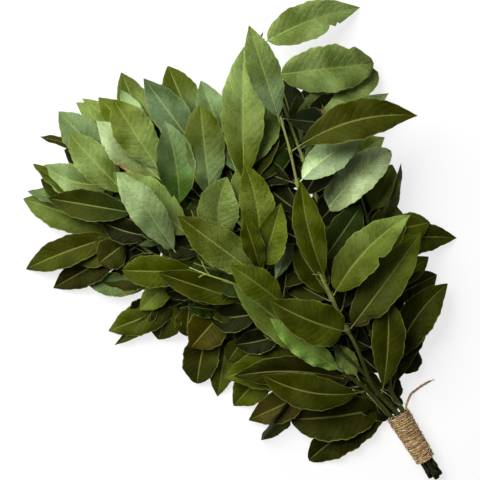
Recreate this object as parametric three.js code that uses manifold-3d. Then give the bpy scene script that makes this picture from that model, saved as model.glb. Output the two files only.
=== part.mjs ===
// A bunch of bay laurel: seven leafy twigs laid together and bound with jute twine,
// lying on a flat surface. Millimetres, +Z up. While it is being built, +X runs from the
// cut ends to the leaf tips, the binding's middle is over the origin, and the surface is
// at z = 0. The finished bunch is then moved so that the origin is under its own centre.

import * as THREE from "three";
import { mergeVertices } from "three/addons/utils/BufferGeometryUtils.js";
import Module from "manifold-3d";

const GAP = 0.3; // clearance between pieces that touch

// The binding: twine wound side by side in one layer round the seven twigs.
const TWINE_DIAMETER = 2.0;
const WRAP_CUT_END = -24; // X of its end beside the cut ends
const WRAP_LEAF_END = 25; // X of its end beside the leaves
const TWIG_RADIUS = 2.25; // at the cut ends
const TWIG_TIP_RADIUS = 1.0;
const CUT_SPREAD = 4.8; // from the middle twig to each of the six round it, at the cut end
const LEAF_SPREAD = 6.9; // the same at the leaf end, where the twigs begin to part
const TWIG_SIDES = 8;

// The leaves.
const PETIOLE_LENGTH = 8;
const PETIOLE_RADIUS = 0.8;
const LEAF_TIP_HALF_WIDTH = 0.5;
const LEAF_HALF_THICKNESS = 0.45;
const LEAF_FOLD = THREE.MathUtils.degToRad(12); // each half rises from the midrib
const BLADE_STATIONS = 7;
const TIP_ON_SURFACE = 0.45; // height of the middle of a leaf tip that lies on the surface

// The loose end of the twine: out of the wrap's leaf end, down, and along the surface.
const TAIL_ROUTE = [
  [25.6, -9.1, 16.7],
  [27.0, -9.6, 16.6],
  [28.3, -10.7, 16.0],
  [29.4, -12.2, 14.8],
  [30.3, -13.9, 12.9],
  [31.0, -15.6, 10.5],
  [31.6, -17.3, 7.9],
  [32.2, -19.2, 5.4],
  [32.9, -21.5, 3.4],
  [32.8, -24.2, 2.0],
  [33.0, -27.3, 1.3],
  [33.2, -30.5, 1.1],
  [33.3, -33.7, 1.1],
  [33.3, -36.9, 1.1],
  [33.1, -40.0, 1.1],
  [32.7, -43.0, 1.1],
];

// Each twig: where it sits round the middle twig in the binding (degrees, 90 is on top,
// null is the middle), how far its cut end stands out of the wrap, and its route from
// the binding to its last bud. A side shoot starts on its own twig's route.
const TWIGS = {
  top: {
    place: 90,
    cutLength: 15,
    route: [[46, 4, 20], [63, 6, 28], [82, 3, 35], [102, 0, 42], [123, -1, 48], [152, -4, 56],
      [176, -7, 63], [215, -19, 71], [248, -29, 76], [277, -39, 80], [306, -47, 84]],
  },
  upper: {
    place: 30,
    cutLength: 10,
    route: [[45, -6, 17], [69, -13, 24], [106, -18, 32], [157, -24, 40], [210, -35, 45],
      [260, -46, 46], [310, -57, 42], [350, -66, 35], [380, -75, 29]],
  },
  middle: {
    place: null,
    cutLength: 20,
    route: [[42, 1, 14], [85, 9, 27], [126, 22, 38], [161, 32, 47], [190, 37, 54],
      [215, 35, 59], [243, 25, 62], [286, 5, 64]],
  },
  inner: {
    place: 150,
    cutLength: 12,
    route: [[47, 9, 14], [63, 13, 18], [84, 21, 23], [123, 34, 31], [167, 49, 38],
      [205, 56, 43], [237, 54, 47], [266, 46, 50], [294, 33, 52], [317, 22, 53], [332, 15, 51]],
    shoots: [
      [[205, 56, 43], [235, 63, 44], [264, 71, 45], [291, 69, 44], [319, 64, 43], [345, 60, 42]],
    ],
  },
  outer: {
    place: 210,
    cutLength: 17,
    route: [[41, 9, 10], [58, 17, 12], [122, 44, 19], [178, 57, 27], [209, 64, 33], [229, 78, 37],
      [249, 91, 37], [272, 98, 36], [300, 99, 34], [325, 98, 32], [350, 96, 30], [371, 97, 28]],
  },
  low: {
    place: 270,
    cutLength: 9,
    route: [[39, 7, 4.3], [54, 20, 5], [110, 51, 11], [165, 70, 14], [212, 89, 16],
      [247, 104, 17], [279, 116, 17], [306, 126, 17], [331, 135, 17]],
    shoots: [
      [[110, 51, 11], [142, 69, 12], [176, 80, 13], [202, 95, 13], [224, 114, 13], [241, 130, 13]],
      [[54, 20, 5], [70, 39, 9], [90, 59, 12], [106, 75, 12]],
    ],
  },
  right: {
    place: 330,
    cutLength: 19,
    route: [[37, -4, 9], [54, -10, 12], [83, -26, 16], [121, -43, 18], [167, -62, 19],
      [211, -76, 19]],
  },
};

// Leaves, twig by twig: [X of the bud that it grows from, its tip, its width, how far its
// middle is raised above a straight line from bud to tip, how far it is bowed to the left,
// its roll in degrees with the right edge up, the stem that it grows on]. The stem is 0 for
// the twig itself, and 1 or 2 for a side shoot.
const LEAVES = {
  top: [
    [300, [383, -64, 97], 28, 3, 0, 0, 0],
    [276, [244, -148, 74], 35, 6, 10, 4, 0],
    [250, [254, -98, 62], 30, 2, 4, 180, 0],
    [165, [250, -32, 95], 26, 4, 4, 0, 0],
    [151, [175, -99, 62], 35, 7, 7, 10, 0],
    [117, [156, -102, 42], 34, 6, 0, 10, 0],
    [118, [179, 44, 68], 38, 4, 3, 0, 0],
    [50, [121, -45, 44], 30, 5, -2, 6, 0],
  ],
  upper: [
    [373, [357, -169, TIP_ON_SURFACE], 34, 9, 3, 0, 0],
    [343, [306, -150, 14], 42, 7, -1, -6, 0],
    [216, [231, -117, 44], 34, 5, 4, 12, 0],
  ],
  middle: [
    [165, [221, 56, 78], 28, 3, -1, 0, 0],
    [198, [281, 72, 68], 34, 5, 0, 0, 0],
    [279, [370, -7, 60], 27, 3, 0, 0, 0],
    [273, [373, -53, 76], 35, 6, 1, 0, 0],
    [282, [325, -54, 50], 34, 0, 0, 8, 0],
    [212, [288, 0, 76], 30, 3, -6, 0, 0],
    [203, [243, -9, 78], 30, 3, 0, 0, 0],
  ],
  inner: [
    [102, [207, 63, 55], 33, 3, 0, 0, 0],
    [86, [164, 51, 68], 20, 4, 1.5, 0, 0],
    [60, [123, 84, 38], 32, 5, 8, -10, 0],
    [76, [134, 107, 26], 28, 5, -7, 0, 0],
    [234, [286, 18, 76], 36, 3, 7, 0, 0],
    [272, [351, 5, 76], 35, 4, 0, 0, 0],
    [311, [399, 34, 53], 32, 3, 0, 0, 0],
    [322, [399, 10, 40], 27, 1, 0, 0, 0],
    [258, [344, 100, 52], 37, 3, 0, -8, 1],
    [286, [355, 38, 75], 32, 4, -3, 0, 1],
    [320, [397, 66, 56], 35, 3, 0, 0, 1],
    [312, [389, 89, 44], 30, 2, 0, 0, 1],
  ],
  outer: [
    [86, [137, 116, 18], 40, 5, -9, 0, 0],
    [184, [249, 114, 50], 25, 6, 0, 0, 0],
    [228, [267, 140, 40], 29, 3, 0, 0, 0],
    [253, [340, 96, 76], 35, 9, 0, 0, 0],
    [302, [358, 164, 20], 28, 4, 0, 0, 0],
    [318, [395, 115, 44], 31, 5, 1, 0, 0],
    [336, [387, 152, 10], 29, 3, 10, 0, 0],
    [345, [418, 114, 28], 33, 3, 0, 0, 0],
  ],
  low: [
    [38, [72, 85, 6], 42, 5, 2, 0, 0],
    [34, [30, 91, TIP_ON_SURFACE], 35, 2, -4, 0, 0],
    [301, [372, 186, TIP_ON_SURFACE], 33, 5, 0, 0, 0],
    [296, [316, 218, TIP_ON_SURFACE], 28, 9, -2, 0, 0],
    [284, [288, 206, TIP_ON_SURFACE], 30, 2, 0, 0, 0],
    [192, [144, 140, 4], 33, 3, -3, 0, 1],
    [178, [124, 131, TIP_ON_SURFACE], 26, 1, 0, 0, 1],
    [190, [176, 126, 20], 35, 4, 0, 0, 0],
    [215, [228, 184, TIP_ON_SURFACE], 30, 4, 0, 0, 1],
    [128, [109, 123, TIP_ON_SURFACE], 32, 1, 0, 0, 1],
  ],
  right: [
    [168, [131, -132, TIP_ON_SURFACE], 31, 5, 3, 0, 0],
    [64, [102, -101, 16], 33, 5, 8, 0, 0],
    [46, [90, -88, TIP_ON_SURFACE], 25, 5, 10, 0, 0],
  ],
};

const LEAF_COLORS = { top: 0x5f7a35, upper: 0x66803c, middle: 0x6f8a48, inner: 0x66803c,
  outer: 0x5c7434, low: 0x3f5020, right: 0x33421c };
const TWIG_COLOR = 0x5d6428;
const TWINE_COLOR = 0xb08a55;

const UP = new THREE.Vector3(0, 0, 1);
const wasm = await Module();
wasm.setup();

const vector = ([x, y, z]) => new THREE.Vector3(x, y, z);
const between = (low, high, t) => low + (high - low) * t;

// How far a place in the wrap is from its cut end, from 0 to 1.
const alongWrap = (x) => Math.max(0, (x - WRAP_CUT_END) / (WRAP_LEAF_END - WRAP_CUT_END));
const spreadAt = (x) => between(CUT_SPREAD, LEAF_SPREAD, alongWrap(x));
const wrapInnerRadius = (x) => spreadAt(x) + TWIG_RADIUS + GAP;
const wrapOuterRadius = (x) => wrapInnerRadius(x) + TWINE_DIAMETER;

// Gives every point of a tube-like solid its place along a line: x and z of the plain
// cylinder go across the line, y goes along it.
function shapeAlong(sides, stations, place) {
  const geometry = new THREE.CylinderGeometry(1, 1, 1, sides, stations);
  geometry.deleteAttribute("normal");
  geometry.deleteAttribute("uv");
  const points = geometry.getAttribute("position");
  const point = new THREE.Vector3();
  for (let i = 0; i < points.count; i += 1) {
    point.fromBufferAttribute(points, i);
    const station = Math.round((point.y + 0.5) * stations);
    place(point, station / stations);
    points.setXYZ(i, point.x, point.y, point.z);
  }
  const closed = mergeVertices(geometry, 1e-4);
  closed.computeVertexNormals();
  return closed;
}

// A twig's whole centre line: parallel to the others in the wrap, then its own route.
function twigCurve({ place, cutLength, route }) {
  const held = [WRAP_CUT_END - cutLength, WRAP_CUT_END, 0, WRAP_LEAF_END].map((x) => {
    const spread = place === null ? 0 : spreadAt(x);
    const angle = THREE.MathUtils.degToRad(place ?? 0);
    const z = wrapOuterRadius(x) + spread * Math.sin(angle);
    return new THREE.Vector3(x, -spread * Math.cos(angle), z);
  });
  return new THREE.CatmullRomCurve3([...held, ...route.map(vector)], false, "catmullrom");
}

const shootCurve = (route) => new THREE.CatmullRomCurve3(route.map(vector), false, "catmullrom");

// Twigs run out along +X, so a place on one is found from its X by halving the interval.
function placeAtX(curve, x) {
  let low = 0;
  let high = 1;
  for (let step = 0; step < 40; step += 1) {
    const middle = (low + high) / 2;
    if (curve.getPoint(middle).x < x) {
      low = middle;
    } else {
      high = middle;
    }
  }
  return (low + high) / 2;
}

function stemGeometry(curve, startRadius, endRadius, stations) {
  return shapeAlong(TWIG_SIDES, stations, (point, t) => {
    const tangent = curve.getTangent(t);
    const across = new THREE.Vector3().crossVectors(tangent, UP).normalize();
    const normal = new THREE.Vector3().crossVectors(across, tangent);
    const radius = between(startRadius, endRadius, t);
    const { x, z } = point;
    point.copy(curve.getPoint(t));
    point.addScaledVector(across, x * radius);
    point.addScaledVector(normal, z * radius);
  });
}

function toSolid(geometry) {
  const merged = mergeVertices(geometry, 1e-4);
  return new wasm.Manifold(new wasm.Mesh({
    numProp: 3,
    vertProperties: new Float32Array(merged.getAttribute("position").array),
    triVerts: new Uint32Array(merged.index.array),
  }));
}

function fromSolid(solid) {
  const mesh = solid.getMesh();
  const geometry = new THREE.BufferGeometry();
  geometry.setAttribute("position", new THREE.BufferAttribute(mesh.vertProperties, 3));
  geometry.setIndex(new THREE.BufferAttribute(mesh.triVerts, 1));
  geometry.computeVertexNormals();
  return geometry;
}

// A twig and the shoots that grew out of it are one piece of wood.
function twigGeometry(twig) {
  const stem = stemGeometry(twigCurve(twig), TWIG_RADIUS, TWIG_TIP_RADIUS, 34);
  if (!twig.shoots) {
    return stem;
  }
  let wood = toSolid(stem);
  for (const route of twig.shoots) {
    const shoot = stemGeometry(shootCurve(route), TWIG_TIP_RADIUS + 0.2, TWIG_TIP_RADIUS, 12);
    wood = wood.add(toSolid(shoot));
  }
  return fromSolid(wood);
}

function twigRadiusAt(shoot, t) {
  return shoot ? TWIG_TIP_RADIUS + 0.2 : between(TWIG_RADIUS, TWIG_TIP_RADIUS, t);
}

// A leaf's midrib is a bowed line from its bud to its tip.
function leafMidrib(curve, shoot, [budX, tip, , arch, leftBow]) {
  const t = placeAtX(curve, budX);
  const bud = curve.getPoint(t);
  const end = vector(tip);
  const outward = end.clone().sub(bud);
  outward.addScaledVector(curve.getTangent(t), -outward.dot(curve.getTangent(t)));
  const start = bud.addScaledVector(outward.normalize(), twigRadiusAt(shoot, t) + 1);
  const left = new THREE.Vector3().crossVectors(UP, end.clone().sub(start)).normalize();
  const bow = start.clone().add(end).multiplyScalar(0.5);
  bow.addScaledVector(UP, 2 * arch).addScaledVector(left, 2 * leftBow);
  return new THREE.QuadraticBezierCurve3(start, bow, end);
}

// Widest just before the middle, narrowing to both ends.
const bladeShape = (s) => Math.sin(Math.PI * s ** 0.92) ** 0.9;

function leafGeometry(midrib, width, roll) {
  const bladeStart = PETIOLE_LENGTH / midrib.getLength();
  const stations = BLADE_STATIONS + 1;
  return shapeAlong(4, stations, (point, t) => {
    const s = Math.max(0, (t * stations - 1) / BLADE_STATIONS);
    const u = t === 0 ? 0 : between(bladeStart, 1, s);
    const least = between(PETIOLE_RADIUS, LEAF_TIP_HALF_WIDTH, s);
    const halfWidth = Math.max(least, (width / 2) * bladeShape(Math.min(s, 1)));
    const tangent = midrib.getTangent(u);
    const level = new THREE.Vector3().crossVectors(tangent, UP).normalize();
    const across = level.applyAxisAngle(tangent, THREE.MathUtils.degToRad(-roll));
    const normal = new THREE.Vector3().crossVectors(across, tangent);
    const { x, z } = point;
    const rise = Math.abs(x) * halfWidth * Math.tan(LEAF_FOLD) * (s > 0 ? 1 : 0);
    point.copy(midrib.getPoint(u));
    point.addScaledVector(across, x * halfWidth);
    point.addScaledVector(normal, z * LEAF_HALF_THICKNESS + rise);
  });
}

function bindingGeometry() {
  const profile = [
    [wrapInnerRadius(WRAP_CUT_END), WRAP_CUT_END],
    [wrapOuterRadius(WRAP_CUT_END), WRAP_CUT_END],
    [wrapOuterRadius(WRAP_LEAF_END), WRAP_LEAF_END],
    [wrapInnerRadius(WRAP_LEAF_END), WRAP_LEAF_END],
    [wrapInnerRadius(WRAP_CUT_END), WRAP_CUT_END],
  ];
  return new THREE.LatheGeometry(profile.map(([r, y]) => new THREE.Vector2(r, y)), 32);
}

function tailGeometry() {
  const section = new THREE.Shape();
  section.absarc(0, 0, TWINE_DIAMETER / 2, 0, Math.PI * 2);
  return new THREE.ExtrudeGeometry(section, {
    curveSegments: 8,
    steps: 16,
    bevelEnabled: false,
    extrudePath: new THREE.CatmullRomCurve3(TAIL_ROUTE.map(vector)),
  });
}

function addMesh(parent, name, geometry, color, roughness) {
  const material = new THREE.MeshStandardMaterial({ color, roughness, metalness: 0 });
  const mesh = new THREE.Mesh(geometry, material);
  mesh.name = name;
  parent.add(mesh);
  return mesh;
}

// The wrap is a cone's slice lying on its side, so its middle line climbs to the leaves.
function addBinding(bunch) {
  const climb = wrapOuterRadius(WRAP_LEAF_END) - wrapOuterRadius(WRAP_CUT_END);
  const tilt = Math.atan2(climb, WRAP_LEAF_END - WRAP_CUT_END);
  const binding = addMesh(bunch, "twine_binding", bindingGeometry(), TWINE_COLOR, 0.95);
  binding.rotation.set(0, -tilt, -Math.PI / 2, "YXZ");
  binding.position.set(0, 0, wrapOuterRadius(0));
}

function addTwigWithLeaves(bunch, name, twig) {
  addMesh(bunch, `twig_${name}`, twigGeometry(twig), TWIG_COLOR, 0.6);
  const curves = [twigCurve(twig), ...(twig.shoots ?? []).map(shootCurve)];
  LEAVES[name].forEach((leaf, index) => {
    const [, , width, , , roll, shoot] = leaf;
    const midrib = leafMidrib(curves[shoot], shoot, leaf);
    const geometry = leafGeometry(midrib, width, roll);
    addMesh(bunch, `leaf_${name}_${index + 1}`, geometry, LEAF_COLORS[name], 0.45);
  });
}

const bunch = new THREE.Group();
addBinding(bunch);
for (const [name, twig] of Object.entries(TWIGS)) {
  addTwigWithLeaves(bunch, name, twig);
}

// The origin is under the middle of the bunch, leaving out its loose twine.
const box = new THREE.Box3().setFromObject(bunch, true);
addMesh(bunch, "twine_tail", tailGeometry(), TWINE_COLOR, 0.95);
bunch.position.set(-(box.min.x + box.max.x) / 2, -(box.min.y + box.max.y) / 2, -box.min.z);

const part = new THREE.Group();
part.add(bunch);

export default part;
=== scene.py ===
import math
import random

import bmesh
import bpy
from mathutils import Matrix, Vector


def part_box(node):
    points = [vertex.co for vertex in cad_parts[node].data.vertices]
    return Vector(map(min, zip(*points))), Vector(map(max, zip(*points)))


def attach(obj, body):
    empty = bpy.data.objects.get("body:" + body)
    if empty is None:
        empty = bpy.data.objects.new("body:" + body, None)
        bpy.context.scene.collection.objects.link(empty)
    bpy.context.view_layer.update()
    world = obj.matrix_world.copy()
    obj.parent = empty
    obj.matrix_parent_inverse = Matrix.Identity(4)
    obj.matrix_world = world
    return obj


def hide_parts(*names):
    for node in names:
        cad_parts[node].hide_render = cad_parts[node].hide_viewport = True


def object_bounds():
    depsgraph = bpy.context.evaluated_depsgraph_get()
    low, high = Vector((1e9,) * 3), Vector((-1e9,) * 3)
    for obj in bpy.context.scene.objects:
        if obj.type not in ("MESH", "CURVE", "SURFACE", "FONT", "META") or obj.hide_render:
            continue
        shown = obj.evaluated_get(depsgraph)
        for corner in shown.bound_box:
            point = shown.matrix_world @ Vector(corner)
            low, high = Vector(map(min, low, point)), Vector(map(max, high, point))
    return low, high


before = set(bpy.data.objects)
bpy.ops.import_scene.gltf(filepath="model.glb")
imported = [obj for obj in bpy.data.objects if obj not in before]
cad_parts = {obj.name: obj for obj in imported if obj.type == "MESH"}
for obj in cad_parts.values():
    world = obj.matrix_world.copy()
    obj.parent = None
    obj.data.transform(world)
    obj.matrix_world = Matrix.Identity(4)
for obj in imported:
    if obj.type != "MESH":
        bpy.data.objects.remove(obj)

cad_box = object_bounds()

# --- The camera -----------------------------------------------------------------------------
# It looks straight down on the bunch from a little over a metre, with the cut ends of the
# twigs towards the lower right. Lengths below are in millimetres, and are measured from the
# point on the surface under the middle of the twine binding, with +X towards the leaf tips.

MILLIMETRE = 0.001
MIDDLE_TWIG_CUT_END = -44
binding_low, binding_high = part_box("twine_binding")
binding_place = Vector((
    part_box("twig_middle")[0].x - MIDDLE_TWIG_CUT_END * MILLIMETRE,
    (binding_low.y + binding_high.y) / 2,
    binding_low.z,
))


def at(x, y, z):
    return binding_place + Vector((x, y, z)) * MILLIMETRE


camera_data = bpy.data.cameras.new("camera")
camera_data.lens = 90
camera = bpy.data.objects.new("camera", camera_data)
camera.location = at(234.7, 37.4, 1100)
camera.rotation_euler = (0, 0, math.radians(-122))
bpy.context.collection.objects.link(camera)
bpy.context.scene.camera = camera

# --- The twigs ------------------------------------------------------------------------------
# Seven shoots of bay laurel, cut with secateurs and laid side by side. Each is round green
# wood, dark and bruised at the cut end and fresher towards its tip, with a knuckle and a
# small pointed bud where every leaf grows. Two of them fork.

TWIG_RADIUS = 2.25  # at the cut end
TWIG_TIP_RADIUS = 1.0
SHOOT_RADIUS = 1.2  # where a side shoot leaves its twig
WRAP_CUT_END = -24
WRAP_LEAF_END = 25
CUT_SPREAD = 4.8  # from the middle twig to each of the six round it, at the cut end
LEAF_SPREAD = 6.9  # the same at the leaf end of the wrap
TWINE_DIAMETER = 2.0
CLEARANCE = 0.3  # between the twigs and the wrap
KNUCKLE_HEIGHT = 0.5
KNUCKLE_LENGTH = 2.2
UP = Vector((0, 0, 1))

# Place round the middle twig in degrees, length beyond the wrap, and the route out of it.
TWIGS = {
    "top": (90, 15, [(46, 4, 20), (63, 6, 28), (82, 3, 35), (102, 0, 42), (123, -1, 48),
                     (152, -4, 56), (176, -7, 63), (215, -19, 71), (248, -29, 76),
                     (277, -39, 80), (306, -47, 84)]),
    "upper": (30, 10, [(45, -6, 17), (69, -13, 24), (106, -18, 32), (157, -24, 40),
                       (210, -35, 45), (260, -46, 46), (310, -57, 42), (350, -66, 35),
                       (380, -75, 29)]),
    "middle": (None, 20, [(42, 1, 14), (85, 9, 27), (126, 22, 38), (161, 32, 47),
                          (190, 37, 54), (215, 35, 59), (243, 25, 62), (286, 5, 64)]),
    "inner": (150, 12, [(47, 9, 14), (63, 13, 18), (84, 21, 23), (123, 34, 31),
                        (167, 49, 38), (205, 56, 43), (237, 54, 47), (266, 46, 50),
                        (294, 33, 52), (317, 22, 53), (332, 15, 51)]),
    "outer": (210, 17, [(41, 9, 10), (58, 17, 12), (122, 44, 19), (178, 57, 27),
                        (209, 64, 33), (229, 78, 37), (249, 91, 37), (272, 98, 36),
                        (300, 99, 34), (325, 98, 32), (350, 96, 30), (371, 97, 28)]),
    "low": (270, 9, [(39, 7, 4.3), (54, 20, 5), (110, 51, 11), (165, 70, 14), (212, 89, 16),
                     (247, 104, 17), (279, 116, 17), (306, 126, 17), (331, 135, 17)]),
    "right": (330, 19, [(37, -4, 9), (54, -10, 12), (83, -26, 16), (121, -43, 18),
                        (167, -62, 19), (211, -76, 19)]),
}
SHOOTS = {
    "inner": [[(205, 56, 43), (235, 63, 44), (264, 71, 45), (291, 69, 44), (319, 64, 43),
               (345, 60, 42)]],
    "low": [[(110, 51, 11), (142, 69, 12), (176, 80, 13), (202, 95, 13), (224, 114, 13),
             (241, 130, 13)],
            [(54, 20, 5), (70, 39, 9), (90, 59, 12), (106, 75, 12)]],
}


def wrap_spread(x):
    along = max(0, (x - WRAP_CUT_END) / (WRAP_LEAF_END - WRAP_CUT_END))
    return CUT_SPREAD + (LEAF_SPREAD - CUT_SPREAD) * along


def wrap_radius(x):
    return wrap_spread(x) + TWIG_RADIUS + CLEARANCE + TWINE_DIAMETER


def twig_route(name):
    place, cut_length, route = TWIGS[name]
    held = []
    for x in (WRAP_CUT_END - cut_length, WRAP_CUT_END, 0, WRAP_LEAF_END):
        spread = 0 if place is None else wrap_spread(x)
        turn = math.radians(place or 0)
        held.append((x, -spread * math.cos(turn), wrap_radius(x) + spread * math.sin(turn)))
    return [Vector(point) for point in held + route]


def stem_routes(name):
    shoots = [[Vector(point) for point in route] for route in SHOOTS.get(name, [])]
    return [twig_route(name), *shoots]


def on_route(route, along):
    """The point at 0 to 1 along a smooth line through every point of the route."""
    spans = len(route) - 1
    first = min(int(along * spans), spans - 1)
    t = along * spans - first
    start, end = route[first], route[first + 1]
    before = route[first - 1] if first > 0 else 2 * start - end
    after = route[first + 2] if first + 2 <= spans else 2 * end - start
    leaving = (end - before) / 2
    arriving = (after - start) / 2
    return (
        (2 * start - 2 * end + leaving + arriving) * t ** 3
        + (3 * end - 3 * start - 2 * leaving - arriving) * t ** 2
        + leaving * t
        + start
    )


def heading(route, along):
    step = 0.0005
    low, high = max(0, along - step), min(1, along + step)
    return (on_route(route, high) - on_route(route, low)).normalized()


def along_at_x(route, x):
    low, high = 0.0, 1.0
    for _ in range(30):
        middle = (low + high) / 2
        if on_route(route, middle).x < x:
            low = middle
        else:
            high = middle
    return (low + high) / 2


def wrap_grid(mesh, steps, sides, place, material=0, under=None):
    """A grid rolled up into one closed skin. place gives the point, in millimetres, for how
    far along it is and how far round, both 0 to 1. The UV map holds the same two. A flat
    thing has its under side's material on the second half of the way round."""
    grid = bmesh.ops.create_grid(
        mesh, x_segments=steps, y_segments=sides, size=0.5, calc_uvs=True
    )["verts"]
    for face in {face for vert in grid for face in vert.link_faces}:
        below = under is not None and face.calc_center_median().y > 0
        face.material_index = under if below else material
        face.smooth = True
    if under is not None:
        for edge in {edge for vert in grid for edge in vert.link_edges}:
            if all(min(abs(vert.co.y), 0.5 - abs(vert.co.y)) < 1e-4 for vert in edge.verts):
                edge.smooth = False
    for vert in grid:
        vert.co = at(*place(vert.co.x + 0.5, vert.co.y + 0.5))
    bmesh.ops.remove_doubles(mesh, verts=grid, dist=1e-7)
    return [vert for vert in grid if vert.is_valid]


def new_skin():
    mesh = bmesh.new()
    mesh.loops.layers.uv.new("skin")
    return mesh


def finish_piece(mesh, name, materials, nodes=()):
    bmesh.ops.recalc_face_normals(mesh, faces=mesh.faces)
    data = bpy.data.meshes.new(name)
    mesh.to_mesh(data)
    mesh.free()
    for material in materials:
        data.materials.append(material)
    piece = bpy.data.objects.new(name, data)
    bpy.context.collection.objects.link(piece)
    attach(piece, "root")
    if nodes:
        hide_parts(*nodes)
    return piece


def add_node(tree, kind, inputs=(), **settings):
    """A new node. inputs gives a value, or the socket to link, for each input."""
    made = tree.nodes.new(kind)
    for key, value in settings.items():
        setattr(made, key, value)
    for key, value in dict(inputs).items():
        if isinstance(value, bpy.types.NodeSocket):
            tree.links.new(value, made.inputs[key])
        else:
            made.inputs[key].default_value = value
    return made


def sum_of(tree, operation, *values):
    inputs = dict(enumerate(values))
    return add_node(tree, "ShaderNodeMath", inputs, operation=operation).outputs[0]


def fade(tree, value, start, end):
    """0 below start and 1 past end, smoothly."""
    inputs = {"Value": value, "From Min": start, "From Max": end}
    kind = "ShaderNodeMapRange"
    return add_node(tree, kind, inputs, interpolation_type="SMOOTHSTEP").outputs["Result"]


def blended(tree, share, under, over):
    made = add_node(tree, "ShaderNodeMix", {0: share, 6: under, 7: over}, data_type="RGBA")
    return made.outputs[2]


def noise(tree, where, scale, detail=2.0):
    inputs = {"Vector": where, "Scale": scale, "Detail": detail}
    return add_node(tree, "ShaderNodeTexNoise", inputs).outputs["Fac"]


def new_material(name):
    material = bpy.data.materials.new(name)
    material.use_nodes = True
    return material, material.node_tree, material.node_tree.nodes["Principled BSDF"]


def give_relief(tree, surface, height, depth, strength=1.0):
    inputs = {"Height": height, "Distance": depth * MILLIMETRE, "Strength": strength}
    bump = add_node(tree, "ShaderNodeBump", inputs)
    tree.links.new(bump.outputs["Normal"], surface.inputs["Normal"])


def rgb(red, green, blue):
    """A colour as it is seen on a screen, 0 to 255, as the shader wants it."""
    channels = [c / 255 for c in (red, green, blue)]
    return [c / 12.92 if c < 0.04045 else ((c + 0.055) / 1.055) ** 2.4 for c in channels] + [1]


def bark_material():
    material, tree, surface = new_material("twig_bark")
    places = add_node(tree, "ShaderNodeTexCoord")
    skin = add_node(tree, "ShaderNodeSeparateXYZ", {0: places.outputs["UV"]})
    along = skin.outputs["X"]
    patches = noise(tree, places.outputs["Object"], 220, 4)
    stretch = add_node(tree, "ShaderNodeMapping", {0: places.outputs["UV"], 3: (160, 9, 1)})
    grain = noise(tree, stretch.outputs[0], 1.0, 5)
    greened = fade(tree, sum_of(tree, "MULTIPLY_ADD", patches, 0.10, along), 0.10, 0.34)
    colour = blended(tree, greened, rgb(24, 21, 9), rgb(52, 58, 16))
    fresh = fade(tree, along, 0.42, 0.75)
    colour = blended(tree, fresh, colour, rgb(126, 134, 70))
    colour = blended(tree, fade(tree, grain, 0.5, 0.72), colour, rgb(44, 40, 14))
    tree.links.new(colour, surface.inputs["Base Color"])
    roughness = sum_of(tree, "MULTIPLY_ADD", grain, 0.3, 0.35)
    tree.links.new(roughness, surface.inputs["Roughness"])
    surface.inputs["Specular IOR Level"].default_value = 0.2
    surface.inputs["Specular Tint"].default_value = (0.9, 1.0, 0.5, 1)
    give_relief(tree, surface, sum_of(tree, "ADD", grain, patches), 0.25)
    return material


def cut_wood_material():
    material, tree, surface = new_material("cut_wood")
    places = add_node(tree, "ShaderNodeTexCoord")
    fibres = noise(tree, places.outputs["Object"], 1500, 3)
    colour = blended(tree, fade(tree, fibres, 0.4, 0.65), rgb(16, 13, 8), rgb(58, 46, 30))
    tree.links.new(colour, surface.inputs["Base Color"])
    surface.inputs["Roughness"].default_value = 0.8
    give_relief(tree, surface, fibres, 0.2)
    return material


def grow_stem(mesh, route, start_radius, end_radius, knuckles, steps):
    """A tapered round stem along the route, thicker at each knuckle's X."""

    def place(along, round_):
        centre = on_route(route, along)
        way = heading(route, along)
        level = way.cross(UP).normalized()
        radius = start_radius + (end_radius - start_radius) * along
        for knuckle in knuckles:
            radius += KNUCKLE_HEIGHT * math.exp(-(((centre.x - knuckle) / KNUCKLE_LENGTH) ** 2))
        turn = math.tau * round_
        return centre + radius * (level * math.cos(turn) + level.cross(way) * math.sin(turn))

    wrap_grid(mesh, steps, 12, place)


def close_ends(mesh, material):
    edges = [edge for edge in mesh.edges if edge.is_boundary]
    for face in bmesh.ops.holes_fill(mesh, edges=edges, sides=0)["faces"]:
        face.material_index = material
        for edge in face.edges:
            edge.smooth = False


def grow_bud(mesh, route, along, radius, side, length):
    """A small pointed bud that leans away from its stem."""
    way = heading(route, along)
    level = way.cross(UP).normalized() * side
    foot = on_route(route, along) + level * radius * 0.6
    lean = (way + level * 0.7).normalized()
    across = lean.cross(UP).normalized()

    def place(t, round_):
        girth = 0.9 * math.sin(math.pi * t ** 0.6) * (1 - 0.4 * t)
        turn = math.tau * round_
        ring = across * math.cos(turn) + across.cross(lean) * math.sin(turn)
        return foot + lean * length * t + ring * girth

    wrap_grid(mesh, 6, 8, place)


bark = bark_material()
cut_wood = cut_wood_material()


def make_twig(name, leaves):
    """A twig with its side shoots, a knuckle and a bud for each leaf, and its end buds."""
    mesh = new_skin()
    routes = stem_routes(name)
    for stem, route in enumerate(routes):
        start = SHOOT_RADIUS if stem else TWIG_RADIUS
        knuckles = [leaf[0] for leaf in leaves if leaf[6] == stem] + [route[0].x + 2]
        grow_stem(mesh, route, start, TWIG_TIP_RADIUS, knuckles, 60 if stem else 160)
    close_ends(mesh, 1)
    for number, leaf in enumerate(leaves):
        route = routes[leaf[6]]
        place = along_at_x(route, leaf[0] + 1)
        grow_bud(mesh, route, place, radius=1.4, side=(-1) ** number, length=3.5)
    for route in routes:
        grow_bud(mesh, route, 0.995, radius=0.1, side=1, length=6)
    finish_piece(mesh, f"bark_{name}", [bark, cut_wood], [f"twig_{name}"])


# --- How a leaf is made -----------------------------------------------------------------------
# A bay leaf is a stiff, leathery blade on a short stalk, folded a little along its midrib.
# Its upper side is satin green with fine side veins sunk into it, its under side is paler
# and dull, and its edge is thin, pale and slightly wavy.

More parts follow.
